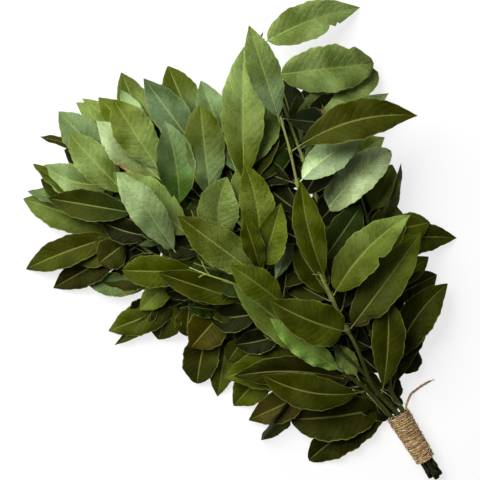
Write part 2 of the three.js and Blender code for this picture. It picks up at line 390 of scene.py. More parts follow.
BLADE_STEPS = 44
BLADE_SIDES = 28
SMALL_BLADE_STEPS = 26
SMALL_BLADE_SIDES = 16
STALK_LENGTH = 5.5
LEAF_SPACING = 13  # along a stem, between the leaves in its shade
TIP_ON_SURFACE = 0.45  # height of the middle of a leaf tip that lies on the surface
SCORCH_REACH = 0.4  # of the leaf's width
# Some of these greens hold painted light: shade is painted shade for leaves lying under others,
# night and deep are partly painted shade, and pale, blue and silver are partly painted sheen.
LEAF_GREENS_AND_PAINTED_LIGHT = {
    "night": rgb(38, 39, 3),
    "dark olive": rgb(50, 54, 5),
    "olive": rgb(66, 73, 10),
    "brown": rgb(58, 50, 10),
    "deep": rgb(28, 42, 6),
    "shade": rgb(15, 17, 2),
    "grass": rgb(72, 104, 36),
    "lime": rgb(128, 160, 72),
    "mid": rgb(84, 97, 28),
    "fresh": rgb(100, 118, 54),
    "bright": rgb(118, 138, 74),
    "grey": rgb(82, 102, 68),
    "blue": rgb(102, 124, 80),
    "pale": rgb(136, 158, 106),
    "silver": rgb(164, 184, 134),
}


def leaf_marks():
    """The fine detail of one side of a blade: where its veins, midrib, edge and blemishes
    are, and how high its surface stands."""
    group = bpy.data.node_groups.new("leaf_marks", "ShaderNodeTree")
    group.interface.new_socket("Skin", in_out="INPUT", socket_type="NodeSocketVector")
    group.interface.new_socket("Place", in_out="INPUT", socket_type="NodeSocketVector")
    for name in ("Spots", "Scorch"):
        group.interface.new_socket(name, in_out="INPUT", socket_type="NodeSocketFloat")
    for name in ("Veins", "Midrib", "Edge", "Mottle", "Blemish", "Burn", "Relief"):
        group.interface.new_socket(name, in_out="OUTPUT", socket_type="NodeSocketFloat")
    given = add_node(group, "NodeGroupInput").outputs
    skin = add_node(group, "ShaderNodeSeparateXYZ", {0: given["Skin"]})
    place = given["Place"]

    def calc(operation, *values):
        return sum_of(group, operation, *values)

    # From one margin to the other is -1 to 1 on each side of the blade.
    half_turn = calc("FRACT", calc("MULTIPLY", skin.outputs["Y"], 2))
    crossing = calc("MULTIPLY_ADD", half_turn, 2, -1)
    outwards = calc("ABSOLUTE", crossing)
    ripple = noise(group, place, 70)

    slant = calc("MULTIPLY", calc("POWER", outwards, 1.25), -2.1)
    stagger = calc("MULTIPLY", calc("GREATER_THAN", crossing, 0), 0.5)
    count = calc("MULTIPLY_ADD", skin.outputs["X"], 12, calc("ADD", slant, stagger))
    count = calc("MULTIPLY_ADD", ripple, 0.7, count)
    between = calc("PINGPONG", count, 0.5)
    line = calc("SUBTRACT", 1, fade(group, between, 0.0, 0.06))
    veins = calc("MULTIPLY", line, calc("SUBTRACT", 1, fade(group, outwards, 0.7, 0.98)))

    midrib = calc("SUBTRACT", 1, fade(group, outwards, 0.02, 0.06))
    edge = fade(group, outwards, 0.93, 0.985)
    patches = noise(group, place, 55, 3)
    grain = noise(group, place, 420, 3)
    mottle = calc("MULTIPLY_ADD", grain, 0.45, calc("MULTIPLY", patches, 0.55))

    cells = add_node(group, "ShaderNodeTexVoronoi", {"Vector": place, "Scale": 330.0})
    pick = add_node(group, "ShaderNodeSeparateColor", {0: cells.outputs["Color"]})
    chosen = calc("GREATER_THAN", calc("ADD", pick.outputs[0], given["Spots"]), 1)
    size = calc("MULTIPLY", pick.outputs[1], 0.15)
    beyond = calc("SUBTRACT", cells.outputs["Distance"], size)
    dot = calc("SUBTRACT", 1, fade(group, beyond, 0, 0.1))
    rust = fade(group, noise(group, place, 900, 4), 0.54, 0.64)
    blemish = calc("MAXIMUM", calc("MULTIPLY", chosen, dot), calc("MULTIPLY", rust, given["Spots"]))
    reach = calc("MULTIPLY", given["Scorch"], calc("MULTIPLY_ADD", patches, 1.6, -0.25))
    burn = fade(group, calc("ADD", outwards, reach), 1.0, 1.25)

    net = add_node(
        group, "ShaderNodeTexVoronoi", {"Vector": place, "Scale": 780.0},
        feature="DISTANCE_TO_EDGE",
    ).outputs["Distance"]
    relief = calc("MULTIPLY_ADD", line, -0.35, calc("MULTIPLY", between, 0.45))
    relief = calc("MULTIPLY_ADD", fade(group, net, 0, 0.2), 0.16, relief)
    relief = calc("MULTIPLY_ADD", grain, 0.4, relief)

    put = add_node(group, "NodeGroupOutput").inputs
    for name, value in {
        "Veins": veins, "Midrib": midrib, "Edge": edge, "Mottle": mottle,
        "Blemish": blemish, "Burn": burn, "Relief": relief,
    }.items():
        group.links.new(value, put[name])
    return group


marks = leaf_marks()


def leaf_inputs(tree):
    places = add_node(tree, "ShaderNodeTexCoord")
    green = add_node(tree, "ShaderNodeAttribute", attribute_name="leaf_green")
    return places.outputs, green.outputs["Color"]


def leaf_side(name, paling, vein_gain, roughness, relief):
    """One side of the blade. paling is how far it is washed out from the leaf's own green."""
    material, tree, surface = new_material(name)
    places, green = leaf_inputs(tree)
    spots = add_node(tree, "ShaderNodeAttribute", attribute_name="spots").outputs["Fac"]
    scorch = add_node(tree, "ShaderNodeAttribute", attribute_name="scorch").outputs["Fac"]
    inputs = {"Skin": places["UV"], "Place": places["Object"], "Spots": spots, "Scorch": scorch}
    found = add_node(tree, "ShaderNodeGroup", node_tree=marks)
    for key, value in inputs.items():
        tree.links.new(value, found.inputs[key])
    found = found.outputs

    colour = blended(tree, paling, green, rgb(150, 172, 128))
    shade = add_node(
        tree, "ShaderNodeMix", {0: 1.0, 6: colour, 7: rgb(214, 212, 196)},
        data_type="RGBA", blend_type="MULTIPLY",
    ).outputs[2]
    colour = blended(tree, fade(tree, found["Mottle"], 0.36, 0.62), shade, colour)
    # Broad patches painted lighter and greyer, and darker between them: painted sheen.
    painted_sheen = fade(tree, noise(tree, places["Object"], 27, 1.5), 0.36, 0.64)
    inputs = {
        "Color": colour, "Value": sum_of(tree, "MULTIPLY_ADD", painted_sheen, 0.5, 0.78),
        "Saturation": sum_of(tree, "MULTIPLY_ADD", painted_sheen, -0.1, 1.07),
    }
    colour = add_node(tree, "ShaderNodeHueSaturation", inputs).outputs[0]
    pale_rib = blended(tree, 0.55, colour, rgb(168, 174, 92))
    inputs = {"Color": colour, "Value": 1 + vein_gain, "Saturation": 0.92}
    veined = add_node(tree, "ShaderNodeHueSaturation", inputs).outputs[0]
    colour = blended(tree, found["Veins"], colour, veined)
    colour = blended(tree, sum_of(tree, "MULTIPLY", found["Midrib"], 0.6), colour, pale_rib)
    colour = blended(tree, sum_of(tree, "MULTIPLY", found["Edge"], 0.5), colour, pale_rib)
    colour = blended(tree, found["Blemish"], colour, rgb(58, 44, 20))
    dried = fade(tree, found["Mottle"], 0.35, 0.65)
    charred = blended(tree, dried, rgb(96, 66, 24), rgb(190, 164, 112))
    colour = blended(tree, found["Burn"], colour, charred)
    tree.links.new(colour, surface.inputs["Base Color"])
    rough = sum_of(tree, "MULTIPLY_ADD", found["Mottle"], 0.25, roughness - 0.12)
    rough = sum_of(tree, "MULTIPLY_ADD", found["Burn"], 0.3, rough)
    tree.links.new(rough, surface.inputs["Roughness"])
    surface.inputs["Specular IOR Level"].default_value = 0.09
    surface.inputs["Specular Tint"].default_value = (0.9, 1.0, 0.4, 1)
    give_relief(tree, surface, found["Relief"], relief)
    return material


def leaf_rib_material():
    material, tree, surface = new_material("leaf_rib")
    places, green = leaf_inputs(tree)
    grain = noise(tree, places["Object"], 300, 3)
    paler = add_node(tree, "ShaderNodeHueSaturation", {"Color": green, "Value": 1.9}).outputs[0]
    colour = blended(tree, 0.28, paler, rgb(156, 156, 66))
    colour = blended(tree, fade(tree, grain, 0.45, 0.7), colour, green)
    tree.links.new(colour, surface.inputs["Base Color"])
    rough = sum_of(tree, "MULTIPLY_ADD", grain, 0.2, 0.35)
    tree.links.new(rough, surface.inputs["Roughness"])
    give_relief(tree, surface, grain, 0.1)
    return material


upper_side = leaf_side("leaf_upper_side", 0.0, 0.65, 0.42, 0.6)
under_side = leaf_side("leaf_under_side", 0.4, 0.45, 0.6, 0.45)
leaf_rib = leaf_rib_material()
leaves_grown = 0


def leaf_look(chance, green, particulars=()):
    """How a leaf differs from its neighbours. Its blade begins and ends more bluntly the lower
    its base and point, and its green is painted lighter or darker towards the tip and on one side
    of the midrib, which is painted sheen and shade. A scorch is where along it and across it, and
    how strong. A bite is where along it, on which side (1 is the right), how deep and how long."""
    look = {
        "wave": chance.uniform(0.5, 1.2), "waves": chance.uniform(2.2, 4.2),
        "fold": chance.uniform(17, 26), "droop": chance.uniform(0.06, 0.2),
        "twist": chance.uniform(-9, 9), "curl": 0.0, "spots": chance.uniform(0, 0.015),
        "scorch": (0.5, 0.0, 0.0), "bites": (), "stalk": STALK_LENGTH, "tip": green,
        # These two paint sheen and shade: the green lighter or darker towards the tip and on one
        # side.
        "tip_tone": chance.uniform(0.85, 1.25), "side_tone": chance.uniform(-0.14, 0.14),
        "base": chance.uniform(0.82, 1.0), "point": chance.uniform(0.8, 0.95),
    }
    look.update(particulars)
    return look


def paint_leaf(mesh, skins, start, tip, midrib, left, width, green, look):
    """Stores each point's green with its painted sheen and shade, and how spotted and scorched it
    is.
    """
    scorched_at, scorched_side, scorch = look["scorch"]
    scorched_place = at(*(midrib(scorched_at) + left * scorched_side * width / 2))
    # Along the leaf the green turns to the tip's green and is made lighter or darker towards the
    # tip and on one side of the midrib: painted sheen and shade.
    ends = Vector(LEAF_GREENS_AND_PAINTED_LIGHT[green]), Vector(LEAF_GREENS_AND_PAINTED_LIGHT[look["tip"]])
    length = (tip - start).length * MILLIMETRE
    for vert in skins:
        away = (vert.co - scorched_place).length / (width * MILLIMETRE * SCORCH_REACH)
        s = min(1, max(0, (vert.co - at(*start)).dot((tip - start).normalized()) / length))
        leftness = (vert.co - at(*midrib(s))).dot(left) / (width * MILLIMETRE / 2)
        painted_light_tone = (1 + (look["tip_tone"] - 1) * s) * (1 + look["side_tone"] * leftness)
        share = s * s * (3 - 2 * s)
        vert[mesh.verts.layers.float_color["leaf_green"]] = ends[0].lerp(ends[1], share) * painted_light_tone
        vert[mesh.verts.layers.float["spots"]] = look["spots"]
        vert[mesh.verts.layers.float["scorch"]] = scorch * math.exp(-(away ** 2))


def grow_leaf(mesh, routes, row, steps=BLADE_STEPS, sides=BLADE_SIDES):
    """Adds a leaf to the mesh. A row gives the X of the knuckle it grows from, its tip, its
    width, how far its middle is raised, how far it is bowed to the left, its roll in degrees
    with the right edge up, its stem (0 for the twig itself), its green, and what else is
    particular to its look."""
    global leaves_grown
    leaves_grown += 1
    chance = random.Random(leaves_grown)
    knuckle_x, tip, width, arch, bow, roll, stem, green, *particulars = row
    look = leaf_look(chance, green, *particulars)
    phases = [chance.uniform(0, math.tau) for _ in range(3)]
    lean = chance.uniform(-3, 3)

    route = routes[stem]
    along = along_at_x(route, knuckle_x)
    knuckle, way, tip = on_route(route, along), heading(route, along), Vector(tip)
    outward = tip - knuckle
    outward = (outward - way * outward.dot(way)).normalized()
    radius = SHOOT_RADIUS if stem else TWIG_RADIUS + (TWIG_TIP_RADIUS - TWIG_RADIUS) * along
    foot = knuckle + outward * radius * 0.4
    start = knuckle + outward * (radius + 1)
    left = UP.cross(tip - start).normalized()
    middle = (start + tip) / 2 + UP * 2 * arch + left * 2 * bow
    blade_start = look["stalk"] / (tip - start).length
    base, point = look["base"], look["point"]
    widest = base / (base + point)

    def midrib(u):
        if u < 0:
            return start.lerp(foot, -u)
        return start * (1 - u) ** 2 + middle * 2 * u * (1 - u) + tip * u ** 2

    def frame_at(u, turn):
        tangent = ((middle - start) * (1 - u) + (tip - middle) * u).normalized()
        level = tangent.cross(UP).normalized()
        across = Matrix.Rotation(math.radians(-turn), 3, tangent) @ level
        return across, across.cross(tangent)

    stations = []
    for step in range(steps + 1):
        s = step / steps
        u = blade_start + (1 - blade_start) * s
        outline = (s / widest) ** base * ((1 - s) / (1 - widest)) ** point
        outline *= 1 - 0.35 * s ** 8  # drawn out to a fine tip
        across, normal = frame_at(u, roll + look["twist"] * (s - 0.3))
        stations.append((s, midrib(u), across, normal, outline))

    def blade(along_, round_):
        s, centre, across, normal, outline = stations[round(along_ * steps)]
        top = round_ < 0.5
        v = 1 - 4 * round_ if top else 4 * round_ - 3
        out = abs(v)
        side = 1 if v > 0 else -1
        uneven = 0.03 * math.sin(4.3 * math.tau * s + phases[2] + side)
        uneven += 0.02 * math.sin(11 * math.tau * s + phases[1] - side)
        half = width / 2 * outline * (1 + uneven)
        for bite_at, bite_side, bite_depth, bite_length in look["bites"]:
            if side == bite_side:
                half *= 1 - bite_depth * math.exp(-(((s - bite_at) / bite_length) ** 2))
        fold = math.tan(math.radians(look["fold"] + lean * side))
        rise = half * (fold * out - look["droop"] * out ** 3)
        swing = look["waves"] * math.tau * s + phases[0 if side > 0 else 1]
        rise += look["wave"] * math.sin(swing) * out ** 2 * min(1, 1.6 * outline)
        rise += look["curl"] * half * max(0, out - 0.55) ** 1.5
        thick = (0.2 * math.sqrt(max(0, 1 - out ** 2)) + 0.05) * min(1, 5 * outline + 0.1)
        reach = half * (v - look["curl"] * 0.35 * side * max(0, out - 0.55) ** 1.2)
        place = centre + across * reach + normal * (rise + (thick if top else -thick))
        place.z = max(place.z, thick if top else 0)
        return place

    def rib(along_, round_):
        u = along_ * 1.02 - 0.06 if along_ > 0.06 else (along_ - 0.06) / 0.06
        across, normal = frame_at(max(0, u), roll)
        s = max(0, (u - blade_start) / (1 - blade_start))
        girth = 0.75 - 0.15 * min(1, max(0, u) / blade_start) - 0.46 * s ** 0.8
        turn = math.tau * round_
        ring = across * math.cos(turn) + normal * (0.75 * math.sin(turn))
        place = midrib(u) + ring * girth * (1 if along_ < 0.995 else 0)
        place.z = max(place.z, 0)
        return place

    skins = wrap_grid(mesh, steps, sides, blade, 0, under=1)
    skins += wrap_grid(mesh, steps * 3 // 4, 8, rib, 2)
    paint_leaf(mesh, skins, start, tip, midrib, left, width, green, look)


def new_leaf_mesh():
    mesh = new_skin()
    mesh.verts.layers.float_color.new("leaf_green")
    mesh.verts.layers.float.new("spots")
    mesh.verts.layers.float.new("scorch")
    return mesh


def make_leaves(twig, leaves, small_leaves=()):
    """Every leaf of one twig: the main ones each a piece, the ones behind them joined."""
    routes = stem_routes(twig)
    finish = [upper_side, under_side, leaf_rib]
    for number, row in enumerate(leaves, 1):
        mesh = new_leaf_mesh()
        grow_leaf(mesh, routes, row)
        node = f"leaf_{twig}_{number}"
        finish_piece(mesh, f"bay_{node}", finish, [node])
    if small_leaves:
        mesh = new_leaf_mesh()
        for row in small_leaves:
            grow_leaf(mesh, routes, row, SMALL_BLADE_STEPS, SMALL_BLADE_SIDES)
        finish_piece(mesh, f"bay_leaves_behind_{twig}", finish)


def leaves_below(twig, stem, first_x, last_x, left, right, drop=16):
    """Rows for the leaves in the shade under a stem, given dark greens as painted shade. They grow
    to the left and right by turns, so long on either side, and droop forwards and down."""
    route = stem_routes(twig)[stem]
    chance = random.Random(f"{twig} {stem}")
    rows = []
    for number, x in enumerate(range(first_x, last_x, LEAF_SPACING)):
        along = along_at_x(route, x)
        side = (-1) ** number
        way = heading(route, along)
        turn = Matrix.Rotation(math.radians(side * chance.uniform(25, 60)), 3, "Z")
        length = (left if side > 0 else right) * chance.uniform(0.85, 1.1)
        tip = on_route(route, along) + turn @ way * length
        tip.z = max(2, on_route(route, along).z - drop * chance.uniform(0.6, 1.4))
        # The leaves under a stem get the darkest greens, as painted shade.
        shade = chance.choice(["deep", "night", "shade", "shade", "shade"])
        rows.append((x, tip, chance.uniform(22, 30), 3, side * 2, 0, stem, shade))
    return rows


# --- The low twig and its leaves --------------------------------------------------------------
# It lies on the surface under the others and forks twice. Its leaves are the oldest, dark and
# olive, with the darkest greens painted shade, and several of them rest on the surface.

low_leaves = [
    (38, (72, 85, 6), 42, 5, 2, 0, 0, "night", {"point": 0.55, "base": 0.6, "stalk": 3}),
    (34, (30, 91, TIP_ON_SURFACE), 35, 2, -4, 0, 0, "night",
     {"point": 0.5, "base": 0.5, "stalk": 3}),
    (301, (372, 186, TIP_ON_SURFACE), 33, 5, 0, 0, 0, "dark olive", {"tip": "fresh"}),
    (296, (316, 218, TIP_ON_SURFACE), 28, 9, -2, 0, 0, "dark olive", {"wave": 1.0}),
    (284, (288, 206, TIP_ON_SURFACE), 30, 2, 0, 0, 0, "night", {"spots": 0.3}),
    (192, (144, 140, 4), 33, 3, -3, 0, 1, "dark olive", {"point": 0.55, "tip": "night"}),
    (178, (124, 131, TIP_ON_SURFACE), 26, 1, 0, 0, 1, "olive"),
    (190, (176, 126, 20), 36, 4, 0, 0, 0, "dark olive",
     {"point": 0.8, "base": 0.7, "tip": "brown"}),
    (215, (228, 184, TIP_ON_SURFACE), 30, 4, 0, 0, 1, "shade", {"tip": "olive"}),
    (128, (109, 123, TIP_ON_SURFACE), 32, 1, 0, 0, 1, "olive"),
]
# The darkest greens of the leaves behind are painted shade.
low_leaves_behind = [
    (93, (69, 118, 2), 30, 3, 0, 50, 2, "olive", {"point": 0.7}),
    (86, (91, 118, 4), 30, 3, 0, 0, 2, "brown", {"base": 0.6}),
    (160, (147, 105, 10), 20, 3, 0, 0, 1, "dark olive"),
    (238, (229, 148, 14), 22, 3, 0, 0, 0, "mid"),
    (219, (214, 186, 3), 13, 1, 0, 0, 1, "dark olive"),
    (224, (197, 149, 3), 31, 3, 0, 0, 1, "dark olive"),
    (213, (186, 125, 8), 24, 3, 0, 0, 1, "dark olive"),
    (331, (375, 178, 7), 22, 1, 0, -50, 0, "blue"),
    (331, (393, 160, 12), 24, 3, 0, -50, 0, "mid"),
    (186, (209, 108, 26), 17, 3, 0, 0, 0, "deep"),
    (289, (297, 175, 12), 26, 3, 0, 0, 0, "dark olive"),
    (288, (284, 156, 22), 30, 3, 0, 0, 0, "night"),
    (241, (280, 178, 5), 22, 0, 0, 0, 1, "olive", {"tip": "blue"}),
    (250, (268, 164, 7), 28, 0, 0, 0, 0, "night"),
    (325, (378, 162, 7), 24, 3, 0, -20, 0, "dark olive"),
    (258, (288, 126, 8), 30, 2, 0, 0, 0, "shade", {"stalk": 1, "base": 0.4}),
    (27, (66, 30, 2), 24, 2, 0, 0, 0, "shade", {"stalk": 0.5, "base": 0.4}),
    (27, (60, 8, 2), 24, 2, 0, 0, 0, "shade", {"stalk": 0.5, "base": 0.2}),
]
low_leaves_behind += leaves_below("low", 0, 46, 320, 34, 55)
low_leaves_behind += leaves_below("low", 1, 130, 236, 42, 50)
make_twig("low", low_leaves + low_leaves_behind)
make_leaves("low", low_leaves, low_leaves_behind)

# --- The right twig and its leaves ------------------------------------------------------------
# A short twig out to the right, half hidden under the others, with narrow dark leaves that
# are seen nearly on edge.

right_leaves = [
    (168, (131, -132, TIP_ON_SURFACE), 31, 5, 3, 0, 0, "olive", {"base": 0.5, "tip": "dark olive"}),
    (64, (102, -101, 16), 33, 5, 8, 0, 0, "dark olive"),
    (46, (90, -88, TIP_ON_SURFACE), 25, 5, 10, 0, 0, "dark olive"),
]
# The darkest greens of the leaves behind are painted shade.
right_leaves_behind = [
    (171, (217, -121, 30), 24, 3, 0, -62, 0, "olive"),
    (192, (220, -114, 26), 28, 3, 0, 0, 0, "mid"),
    (176, (157, -117, 14), 26, 3, 0, 0, 0, "olive"),
    (129, (131, -100, 10), 20, 3, 0, 0, 0, "olive"),
    (120, (113, -98, 8), 25, 3, 0, 0, 0, "night"),
    (150, (192, -98, 16), 32, 3, 0, 0, 0, "dark olive"),
    (130, (203, -78, 12), 32, 3, 0, 0, 0, "shade"),
    (140, (226, -88, 8), 30, 2, 0, 0, 0, "shade"),
    (27, (56, -2, 2), 12, 1, 0, 0, 0, "shade", {"stalk": 0.5, "base": 0.3}),
    (36, (74, -15, 5), 18, 1, 0, 0, 0, "shade", {"stalk": 0.5, "base": 0.4}),
]
right_leaves_behind += leaves_below("right", 0, 46, 200, 60, 40)
make_twig("right", right_leaves + right_leaves_behind)
make_leaves("right", right_leaves, right_leaves_behind)

# --- The outer twig and its leaves ------------------------------------------------------------
# It leans out to the left beside the low twig, and its leaves fan out over that twig's.

outer_leaves = [
    (86, (137, 116, 18), 40, 5, -9, 0, 0, "olive"),
    (184, (249, 114, 50), 25, 6, 0, 0, 0, "olive", {"tip": "dark olive"}),
    (228, (267, 140, 40), 29, 3, 0, 0, 0, "olive", {"point": 0.6}),
    (253, (340, 96, 76), 29, 9, -2, 0, 0, "pale", {"point": 0.8}),
    (302, (358, 164, 20), 28, 4, 0, 0, 0, "deep", {"tip": "dark olive", "tip_tone": 0.9}),
    (318, (395, 115, 44), 31, 5, 1, 0, 0, "fresh", {"tip": "bright"}),
    (336, (387, 152, 10), 30, 3, 10, 0, 0, "mid", {"tip": "pale"}),
    (345, (418, 114, 28), 33, 3, 0, 0, 0, "blue"),
]
# The darkest greens of the leaves behind are painted shade.
outer_leaves_behind = [
    (365, (409, 141, 20), 11, 3, 0, -25, 0, "dark olive"),
    (229, (266, 93, 36), 25, 3, 0, 0, 0, "deep"),
    (265, (299, 114, 26), 20, 0, 0, 0, 0, "deep", {"tip": "blue"}),
]
outer_leaves_behind += leaves_below("outer", 0, 70, 360, 46, 60)
make_twig("outer", outer_leaves + outer_leaves_behind)
make_leaves("outer", outer_leaves, outer_leaves_behind)

# --- The inner twig and its leaves ------------------------------------------------------------
# It climbs over the outer twig and forks, and ends in a tuft of young leaves.

inner_leaves = [
    (102, (207, 63, 55), 33, 3, 0, 0, 0, "mid", {"tip": "fresh"}),
    (86, (164, 51, 68), 22, 4, 1.5, 0, 0, "lime", {"wave": 1.6, "waves": 5, "spots": 0.4}),
    (60, (123, 84, 38), 32, 5, 8, -10, 0, "dark olive"),
    (76, (134, 107, 26), 28, 5, -7, 0, 0, "night"),
    (234, (286, 18, 76), 36, 3, 7, 0, 0, "bright", {"spots": 0.5}),
    (272, (351, 5, 76), 35, 4, 0, 0, 0, "blue", {"point": 0.65, "tip": "mid"}),
    (311, (399, 34, 53), 32, 3, 0, 0, 0, "grey"),
    (322, (399, 10, 40), 33, 1, 0, 0, 0, "grey", {"tip": "mid"}),
    (258, (344, 100, 52), 38, 3, 0, -8, 1, "bright"),
    (286, (355, 38, 75), 35, 4, -4, 0, 1, "grass", {"curl": 0.4, "tip": "blue"}),
    (320, (397, 66, 56), 35, 3, 0, 0, 1, "bright", {"tip": "mid"}),
    (312, (391, 89, 44), 33, 2, 0, 0, 1, "bright",
     {"scorch": (0.38, 0.9, 1.0), "tip": "silver", "point": 1.0}),
]
# The darkest greens of the leaves behind are painted shade.
inner_leaves_behind = [
    (70, (111, 14, 30), 18, 3, 0, 0, 0, "fresh", {"wave": 1.0}),
    (345, (417, 90, 27), 24, -1, 0, 0, 1, "fresh"),
    (345, (409, 77, 34), 24, 3, 0, 0, 1, "mid"),
    (345, (416, 48, 40), 28, 3, 0, 0, 1, "fresh"),
    (345, (402, 56, 46), 20, 3, 0, 0, 1, "pale"),
    (340, (418, 97, 20), 26, -2, 0, 0, 1, "fresh"),
    (325, (378, 42, 32), 26, 1, 0, 0, 1, "deep"),
    (296, (330, 72, 38), 22, 1, 0, 0, 1, "shade"),
]
inner_leaves_behind += leaves_below("inner", 0, 66, 320, 55, 60)
inner_leaves_behind += leaves_below("inner", 1, 215, 335, 55, 55)
YOUNG_SHOOT = [
    [(196, 55, 47), (205, 62, 52), (214, 69, 53), (222, 76, 53), (230, 82, 52), (238, 88, 49)],
    [(222, 76, 53), (229, 76.5, 55), (237, 75.5, 56)],
    [(224, 77.5, 53), (226, 81, 55), (226, 85, 56)],
]
mesh = new_leaf_mesh()
for number, line in enumerate(YOUNG_SHOOT):
    thickness = 0.6 if number else 1.1
    grow_stem(mesh, [Vector(point) for point in line], thickness, 0.5, (), 24)
for vert in mesh.verts:
    vert[mesh.verts.layers.float_color["leaf_green"]] = LEAF_GREENS_AND_PAINTED_LIGHT["fresh"]
close_ends(mesh, 0)
finish_piece(mesh, "young_shoot", [leaf_rib])
make_twig("inner", inner_leaves + inner_leaves_behind)
make_leaves("inner", inner_leaves, inner_leaves_behind)

# --- The middle twig and its leaves -----------------------------------------------------------
# The others are laid round it. Its upper leaves stand up in the middle of the bunch.

middle_leaves = [
    (165, (221, 56, 78), 28, 3, -1, 0, 0, "mid"),
    (198, (281, 72, 68), 34, 5, 0, 0, 0, "fresh", {"spots": 0.9, "tip": "olive", "tip_tone": 1.1}),
    (279, (370, -7, 60), 31, 3, 0, 0, 0, "blue", {"tip_tone": 1.0}),
    (273, (373, -53, 76), 37, 6, 1, 0, 0, "mid", {"tip": "bright"}),
    (282, (325, -54, 50), 34, 0, 0, 8, 0, "bright"),
    (212, (288, 0, 76), 30, 3, -6, 0, 0, "mid", {"spots": 0.9, "tip": "mid"}),
    (203, (243, -9, 78), 30, 3, 0, 0, 0, "mid", {"curl": 0.6, "base": 0.5, "tip": "mid"}),
]
middle_leaves_behind = [
    (228, (294, -3, 64), 32, 3, 0, 0, 0, "fresh"),
    (203, (250, 24, 84), 19, 4, 0, 0, 0, "olive", {"stalk": 2}),
    (286, (339, -36, 50), 29, 3, 0, 0, 0, "olive"),
    (268, (315, -46, 44), 29, 3, 0, 0, 0, "dark olive"),
    (186, (240, -18, 50), 20, 3, -5, 180, 0, "grey"),
]
middle_leaves_behind += leaves_below("middle", 0, 80, 280, 60, 60, 26)
make_twig("middle", middle_leaves + middle_leaves_behind)
make_leaves("middle", middle_leaves, middle_leaves_behind)

# --- The upper twig and its leaves ------------------------------------------------------------
# The longest twig. Two young light green leaves hang from its end, and the outer one reaches
# down to the surface.

upper_leaves = [
    (373, (357, -169, TIP_ON_SURFACE), 34, 9, 3, 0, 0, "bright",
     {"bites": [(0.62, 1, 0.35, 0.03), (0.7, 1, 0.3, 0.02)], "base": 0.6, "point": 0.95,
      "stalk": 3}),
    (343, (306, -150, 14), 42, 7, -1, -6, 0, "bright",
     {"bites": [(0.72, -1, 0.14, 0.05)], "wave": 1.1, "base": 0.55, "point": 0.5}),
    (216, (231, -117, 44), 34, 5, 4, 14, 0, "silver",
     {"base": 0.5, "point": 0.5, "stalk": 3, "tip": "silver"}),
]
# The darkest greens of the leaves behind are painted shade.
upper_leaves_behind = [
    (303, (298, -151, 3), 34, 0, 0, 0, 0, "bright", {"point": 0.5}),
    (275, (276, -147, 16), 26, 0, 0, 0, 0, "blue"),
    (245, (244, -121, 28), 30, 0, 0, 0, 0, "fresh"),
    (258, (320, -86, 20), 34, 3, 0, 0, 0, "deep"),
    (262, (340, -70, 14), 34, 3, 0, 0, 0, "shade"),
    (266, (316, -102, 16), 30, 2, 0, 0, 0, "grey"),
    (232, (300, -40, 28), 22, 0, 0, 0, 0, "shade"),
    (190, (240, -52, 34), 28, 2, 0, 0, 0, "shade"),
    (176, (252, -14, 30), 32, 2, 0, 0, 0, "shade"),
]
upper_leaves_behind += leaves_below("upper", 0, 60, 290, 55, 60, 30)
make_twig("upper", upper_leaves + upper_leaves_behind)
make_leaves("upper", upper_leaves, upper_leaves_behind)

# --- The top twig and its leaves --------------------------------------------------------------
# It lies over all the others, and its stem and most of its leaves are seen whole.

top_leaves = [
    (300, (383, -64, 97), 28, 3, 0, 0, 0, "grey", {"spots": 0.2, "fold": 16, "tip": "bright"}),
    (276, (244, -148, 74), 35, 6, 10, 4, 0, "dark olive", {"point": 1.05, "stalk": 8}),
    (250, (254, -98, 62), 30, 2, 4, 190, 0, "silver",
     {"base": 0.78, "point": 0.75, "stalk": 4, "tip": "pale"}),
    (165, (250, -32, 95), 26, 4, 4, 0, 0, "olive"),
    (151, (175, -99, 62), 35, 7, 7, 10, 0, "olive",
     {"bites": [(0.5, 1, 0.25, 0.03)], "base": 0.62, "stalk": 4, "tip": "fresh"}),
    (117, (156, -102, 42), 34, 6, 0, 10, 0, "night",
     {"bites": [(0.14, 1, 0.3, 0.03)], "base": 0.6, "stalk": 4, "tip": "mid"}),
    (118, (179, 44, 68), 38, 4, 3, 0, 0, "olive",
     {"base": 0.45, "stalk": 2, "tip": "dark olive"}),
    (50, (121, -45, 44), 30, 5, -2, 6, 0, "dark olive", {"point": 0.65}),
]
# The darkest greens of the leaves behind are painted shade.
top_leaves_behind = [
    (303, (277, -88, 34), 25, 3, 0, 0, 0, "deep", {"scorch": (0.75, 0.5, 1.0)}),
    (148, (206, -1, 52), 26, 3, 0, 0, 0, "dark olive"),
    (180, (204, -70, 40), 28, 3, 0, 0, 0, "deep"),
]
top_leaves_behind += leaves_below("top", 0, 120, 255, 60, 50, 42)
make_twig("top", top_leaves + top_leaves_behind)
make_leaves("top", top_leaves, top_leaves_behind)

# --- The binding ------------------------------------------------------------------------------
# About two metres of two-ply jute twine. It is wound side by side from the leaves to
# the cut ends, and back over itself in a few slanting turns.

TWINE_RADIUS = TWINE_DIAMETER / 2
CLOSE_TURNS = 25
BACK_TURNS = 11
PLY_TWIST = 4.6  # length of one twist of the two plies


def jute_material(name, dark, light):
    material, tree, surface = new_material(name)
    places = add_node(tree, "ShaderNodeTexCoord")
    tan = noise(tree, places.outputs["Object"], 260, 3)
    straws = noise(tree, places.outputs["Object"], 2400, 3)
    colour = blended(tree, fade(tree, tan, 0.35, 0.65), dark, light)
    colour = blended(tree, fade(tree, straws, 0.52, 0.68), colour, rgb(226, 204, 156))
    colour = blended(tree, fade(tree, straws, 0.46, 0.32), colour, rgb(96, 60, 22))
    tree.links.new(colour, surface.inputs["Base Color"])
    surface.inputs["Roughness"].default_value = 0.9
    give_relief(tree, surface, straws, 0.3)
    return material


